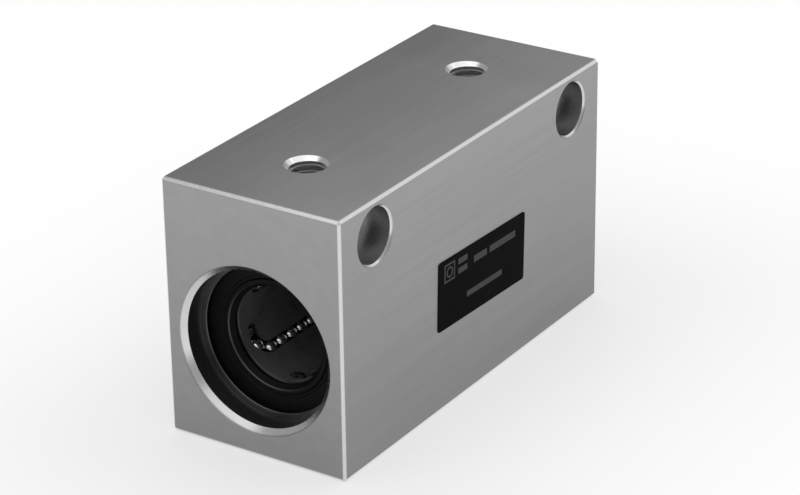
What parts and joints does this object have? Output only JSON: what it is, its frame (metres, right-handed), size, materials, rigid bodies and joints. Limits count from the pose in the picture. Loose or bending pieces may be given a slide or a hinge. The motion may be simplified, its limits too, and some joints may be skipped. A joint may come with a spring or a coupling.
{
  "type": "linear bearing block",
  "caption": "Rectangular aluminium bearing block with a sealed recirculating-ball bush for a round shaft, side screw holes and tapped top holes.",
  "frame": {"origin": "centre of the shaft bore at half the block's length", "axes": "+Y along the shaft bore, +Z towards the face with the tapped holes, +X towards the face with the label and the counterbored screw holes"},
  "size_m": [0.0402, 0.094, 0.053],
  "materials": {
    "block_aluminium": "fine milled, clear anodised",
    "label_foil": "satin black printed foil",
    "sleeve_steel": "ground",
    "ring_steel": "blackened spring steel, lightly oiled",
    "retainer_resin": "moulded resin",
    "seal_rubber": "moulded rubber",
    "ball_steel": "polished"
  },
  "bodies": {
    "housing": {"housing_block": "block_aluminium", "label_plate": "label_foil", "bearing_sleeve": "sleeve_steel", "ball_retainer_front": "retainer_resin", "ball_retainer_rear": "retainer_resin", "seal_front": "seal_rubber", "seal_rear": "seal_rubber", "side_ring_front": "ring_steel", "side_ring_rear": "ring_steel", "snap_ring_front": "ring_steel", "snap_ring_rear": "ring_steel"},
    "load_rows": {"load_balls_front": "ball_steel", "load_balls_rear": "ball_steel"},
    "return_rows": {"return_balls_front": "ball_steel", "return_balls_rear": "ball_steel"},
    "turn_front_1_near": {"turning_balls_front_1_near": "ball_steel"},
    "turn_front_1_far": {"turning_balls_front_1_far": "ball_steel"},
    "turn_front_2_near": {"turning_balls_front_2_near": "ball_steel"},
    "turn_front_2_far": {"turning_balls_front_2_far": "ball_steel"},
    "turn_front_3_near": {"turning_balls_front_3_near": "ball_steel"},
    "turn_front_3_far": {"turning_balls_front_3_far": "ball_steel"},
    "turn_front_4_near": {"turning_balls_front_4_near": "ball_steel"},
    "turn_front_4_far": {"turning_balls_front_4_far": "ball_steel"},
    "turn_front_5_near": {"turning_balls_front_5_near": "ball_steel"},
    "turn_front_5_far": {"turning_balls_front_5_far": "ball_steel"},
    "turn_rear_1_near": {"turning_balls_rear_1_near": "ball_steel"},
    "turn_rear_1_far": {"turning_balls_rear_1_far": "ball_steel"},
    "turn_rear_2_near": {"turning_balls_rear_2_near": "ball_steel"},
    "turn_rear_2_far": {"turning_balls_rear_2_far": "ball_steel"},
    "turn_rear_3_near": {"turning_balls_rear_3_near": "ball_steel"},
    "turn_rear_3_far": {"turning_balls_rear_3_far": "ball_steel"},
    "turn_rear_4_near": {"turning_balls_rear_4_near": "ball_steel"},
    "turn_rear_4_far": {"turning_balls_rear_4_far": "ball_steel"},
    "turn_rear_5_near": {"turning_balls_rear_5_near": "ball_steel"},
    "turn_rear_5_far": {"turning_balls_rear_5_far": "ball_steel"}
  },
  "joints": [
    {"name": "load_row_slide", "type": "slide", "parent": "housing", "child": "load_rows", "axis": [0, 1, 0], "range_m": [0, 0.0034]},
    {"name": "return_row_slide", "type": "slide", "parent": "housing", "child": "return_rows", "axis": [0, -1, 0], "range_m": [0, 0.0034]},
    {"name": "turn_front_1_near_hinge", "type": "hinge", "parent": "housing", "child": "turn_front_1_near", "pos_m": [-0.01046, -0.0308, -0.00598], "axis": [0.7022, 0, 0.712], "range_deg": [0, 60]},
    {"name": "turn_front_1_far_hinge", "type": "hinge", "parent": "housing", "child": "turn_front_1_far", "pos_m": [-0.01046, -0.00698, -0.00598], "axis": [0.7022, 0, 0.712], "range_deg": [0, 60]},
    {"name": "turn_front_2_near_hinge", "type": "hinge", "parent": "housing", "child": "turn_front_2_near", "pos_m": [0.00245, -0.0308, -0.01179], "axis": [-0.4602, 0, 0.8878], "range_deg": [0, 60]},
    {"name": "turn_front_2_far_hinge", "type": "hinge", "parent": "housing", "child": "turn_front_2_far", "pos_m": [0.00245, -0.00698, -0.01179], "axis": [-0.4602, 0, 0.8878], "range_deg": [0, 60]},
    {"name": "turn_front_3_near_hinge", "type": "hinge", "parent": "housing", "child": "turn_front_3_near", "pos_m": [0.01197, -0.0308, -0.00131], "axis": [-0.9866, 0, -0.1633], "range_deg": [0, 60]},
    {"name": "turn_front_3_far_hinge", "type": "hinge", "parent": "housing", "child": "turn_front_3_far", "pos_m": [0.01197, -0.00698, -0.00131], "axis": [-0.9866, 0, -0.1633], "range_deg": [0, 60]},
    {"name": "turn_front_4_near_hinge", "type": "hinge", "parent": "housing", "child": "turn_front_4_near", "pos_m": [0.00495, -0.0308, 0.01098], "axis": [-0.1495, 0, -0.9888], "range_deg": [0, 60]},
    {"name": "turn_front_4_far_hinge", "type": "hinge", "parent": "housing", "child": "turn_front_4_far", "pos_m": [0.00495, -0.00698, 0.01098], "axis": [-0.1495, 0, -0.9888], "range_deg": [0, 60]},
    {"name": "turn_front_5_near_hinge", "type": "hinge", "parent": "housing", "child": "turn_front_5_near", "pos_m": [-0.00891, -0.0308, 0.0081], "axis": [0.8942, 0, -0.4478], "range_deg": [0, 60]},
    {"name": "turn_front_5_far_hinge", "type": "hinge", "parent": "housing", "child": "turn_front_5_far", "pos_m": [-0.00891, -0.00698, 0.0081], "axis": [0.8942, 0, -0.4478], "range_deg": [0, 60]},
    {"name": "turn_rear_1_near_hinge", "type": "hinge", "parent": "housing", "child": "turn_rear_1_near", "pos_m": [-0.01046, 0.00645, -0.00598], "axis": [0.7022, 0, 0.712], "range_deg": [0, 60]},
    {"name": "turn_rear_1_far_hinge", "type": "hinge", "parent": "housing", "child": "turn_rear_1_far", "pos_m": [-0.01046, 0.03027, -0.00598], "axis": [0.7022, 0, 0.712], "range_deg": [0, 60]},
    {"name": "turn_rear_2_near_hinge", "type": "hinge", "parent": "housing", "child": "turn_rear_2_near", "pos_m": [0.00245, 0.00645, -0.01179], "axis": [-0.4602, 0, 0.8878], "range_deg": [0, 60]},
    {"name": "turn_rear_2_far_hinge", "type": "hinge", "parent": "housing", "child": "turn_rear_2_far", "pos_m": [0.00245, 0.03027, -0.01179], "axis": [-0.4602, 0, 0.8878], "range_deg": [0, 60]},
    {"name": "turn_rear_3_near_hinge", "type": "hinge", "parent": "housing", "child": "turn_rear_3_near", "pos_m": [0.01197, 0.00645, -0.00131], "axis": [-0.9866, 0, -0.1633], "range_deg": [0, 60]},
    {"name": "turn_rear_3_far_hinge", "type": "hinge", "parent": "housing", "child": "turn_rear_3_far", "pos_m": [0.01197, 0.03027, -0.00131], "axis": [-0.9866, 0, -0.1633], "range_deg": [0, 60]},
    {"name": "turn_rear_4_near_hinge", "type": "hinge", "parent": "housing", "child": "turn_rear_4_near", "pos_m": [0.00495, 0.00645, 0.01098], "axis": [-0.1495, 0, -0.9888], "range_deg": [0, 60]},
    {"name": "turn_rear_4_far_hinge", "type": "hinge", "parent": "housing", "child": "turn_rear_4_far", "pos_m": [0.00495, 0.03027, 0.01098], "axis": [-0.1495, 0, -0.9888], "range_deg": [0, 60]},
    {"name": "turn_rear_5_near_hinge", "type": "hinge", "parent": "housing", "child": "turn_rear_5_near", "pos_m": [-0.00891, 0.00645, 0.0081], "axis": [0.8942, 0, -0.4478], "range_deg": [0, 60]},
    {"name": "turn_rear_5_far_hinge", "type": "hinge", "parent": "housing", "child": "turn_rear_5_far", "pos_m": [-0.00891, 0.03027, 0.0081], "axis": [0.8942, 0, -0.4478], "range_deg": [0, 60]}
  ],
  "couplings": [
    {"joint": "return_row_slide", "follows": "load_row_slide", "ratio": 1},
    {"joint": "turn_front_1_near_hinge", "follows": "load_row_slide", "rad_per_m": 307.73},
    {"joint": "turn_front_1_far_hinge", "follows": "load_row_slide", "rad_per_m": 307.73},
    {"joint": "turn_front_2_near_hinge", "follows": "load_row_slide", "rad_per_m": 307.73},
    {"joint": "turn_front_2_far_hinge", "follows": "load_row_slide", "rad_per_m": 307.73},
    {"joint": "turn_front_3_near_hinge", "follows": "load_row_slide", "rad_per_m": 307.73},
    {"joint": "turn_front_3_far_hinge", "follows": "load_row_slide", "rad_per_m": 307.73},
    {"joint": "turn_front_4_near_hinge", "follows": "load_row_slide", "rad_per_m": 307.73},
    {"joint": "turn_front_4_far_hinge", "follows": "load_row_slide", "rad_per_m": 307.73},
    {"joint": "turn_front_5_near_hinge", "follows": "load_row_slide", "rad_per_m": 307.73},
    {"joint": "turn_front_5_far_hinge", "follows": "load_row_slide", "rad_per_m": 307.73},
    {"joint": "turn_rear_1_near_hinge", "follows": "load_row_slide", "rad_per_m": 307.73},
    {"joint": "turn_rear_1_far_hinge", "follows": "load_row_slide", "rad_per_m": 307.73},
    {"joint": "turn_rear_2_near_hinge", "follows": "load_row_slide", "rad_per_m": 307.73},
    {"joint": "turn_rear_2_far_hinge", "follows": "load_row_slide", "rad_per_m": 307.73},
    {"joint": "turn_rear_3_near_hinge", "follows": "load_row_slide", "rad_per_m": 307.73},
    {"joint": "turn_rear_3_far_hinge", "follows": "load_row_slide", "rad_per_m": 307.73},
    {"joint": "turn_rear_4_near_hinge", "follows": "load_row_slide", "rad_per_m": 307.73},
    {"joint": "turn_rear_4_far_hinge", "follows": "load_row_slide", "rad_per_m": 307.73},
    {"joint": "turn_rear_5_near_hinge", "follows": "load_row_slide", "rad_per_m": 307.73},
    {"joint": "turn_rear_5_far_hinge", "follows": "load_row_slide", "rad_per_m": 307.73}
  ]
}
